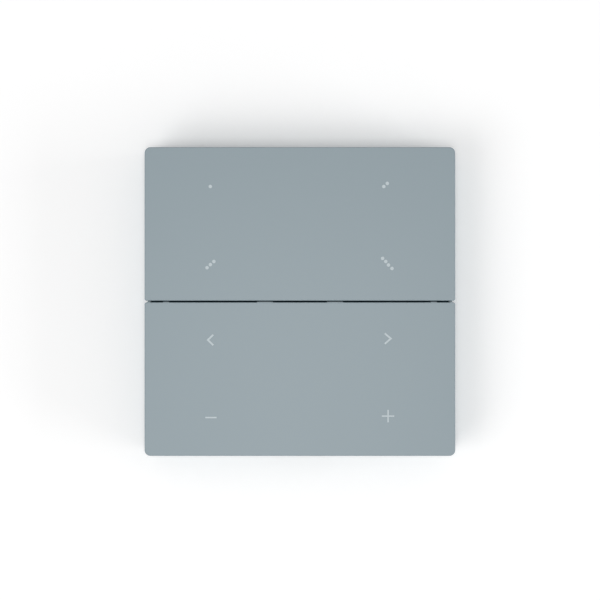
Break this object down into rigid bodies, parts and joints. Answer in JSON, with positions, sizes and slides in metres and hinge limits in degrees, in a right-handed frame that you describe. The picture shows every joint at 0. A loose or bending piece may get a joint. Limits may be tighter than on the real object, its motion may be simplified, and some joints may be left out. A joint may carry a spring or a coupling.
{
  "type": "lighting remote control",
  "caption": "Square wall-mounted lighting remote with two wide tilting panels over a shallow housing that clings by magnets to a steel wall plate.",
  "frame": {"origin": "middle of the back, in the plane of the tape that meets the wall", "axes": "+Z out of the front, +Y towards the upper panel (the one with dots), +X to the right"},
  "size_m": [0.08, 0.0794, 0.013],
  "materials": {
    "panel_plastic": "satin",
    "housing_plastic": "satin",
    "black_plastic": "matte",
    "acetal": "satin",
    "silicone": "matte",
    "board_laminate": "gloss",
    "tin_plate": "satin",
    "cell_steel": "satin",
    "contact_metal": "satin",
    "nickel_plating": "gloss",
    "screw_steel": "satin",
    "zinc_plated_steel": "satin",
    "foam_tape": "matte"
  },
  "bodies": {
    "wall_mount": {"wall_plate": "zinc_plated_steel", "mounting_tape": "foam_tape"},
    "remote": {"rear_housing": "housing_plastic", "carrier": "black_plastic", "circuit_board": "board_laminate", "upper_keymat": "silicone", "lower_keymat": "silicone", "radio_module": "board_laminate", "radio_shield": "tin_plate", "control_chips": "black_plastic", "battery_holder": "black_plastic", "side_contact": "contact_metal", "cap_contact": "contact_metal", "coin_cell": "cell_steel", "magnets": "nickel_plating", "housing_screws": "screw_steel"},
    "cover": {"battery_cover": "housing_plastic"},
    "upper_tilt": {"upper_yoke": "acetal"},
    "lower_tilt": {"lower_yoke": "acetal"},
    "upper_front": {"upper_key_frame": "black_plastic", "upper_panel": "panel_plastic"},
    "lower_front": {"lower_key_frame": "black_plastic", "lower_panel": "panel_plastic"}
  },
  "joints": [
    {"name": "lift_off", "type": "slide", "parent": "wall_mount", "child": "remote", "axis": [0, 0, 1], "range_m": [0, 0.03]},
    {"name": "cover_turn", "type": "hinge", "parent": "remote", "child": "cover", "pos_m": [0, 0, 0.0022], "axis": [0, 0, 1], "range_deg": [0, 35]},
    {"name": "upper_pitch", "type": "hinge", "parent": "remote", "child": "upper_tilt", "pos_m": [0, 0.01998, 0.0097], "axis": [1, 0, 0], "range_deg": [-1.5, 1.5], "stiffness_Nm_per_rad": 0.7, "deforming": ["upper_keymat"]},
    {"name": "upper_roll", "type": "hinge", "parent": "upper_tilt", "child": "upper_front", "pos_m": [0, 0.01998, 0.0097], "axis": [0, 1, 0], "range_deg": [-0.8, 0.8], "stiffness_Nm_per_rad": 3, "deforming": ["upper_keymat"]},
    {"name": "lower_pitch", "type": "hinge", "parent": "remote", "child": "lower_tilt", "pos_m": [0, -0.01998, 0.0097], "axis": [1, 0, 0], "range_deg": [-1.5, 1.5], "stiffness_Nm_per_rad": 0.7, "deforming": ["lower_keymat"]},
    {"name": "lower_roll", "type": "hinge", "parent": "lower_tilt", "child": "lower_front", "pos_m": [0, -0.01998, 0.0097], "axis": [0, 1, 0], "range_deg": [-0.8, 0.8], "stiffness_Nm_per_rad": 3, "deforming": ["lower_keymat"]}
  ]
}
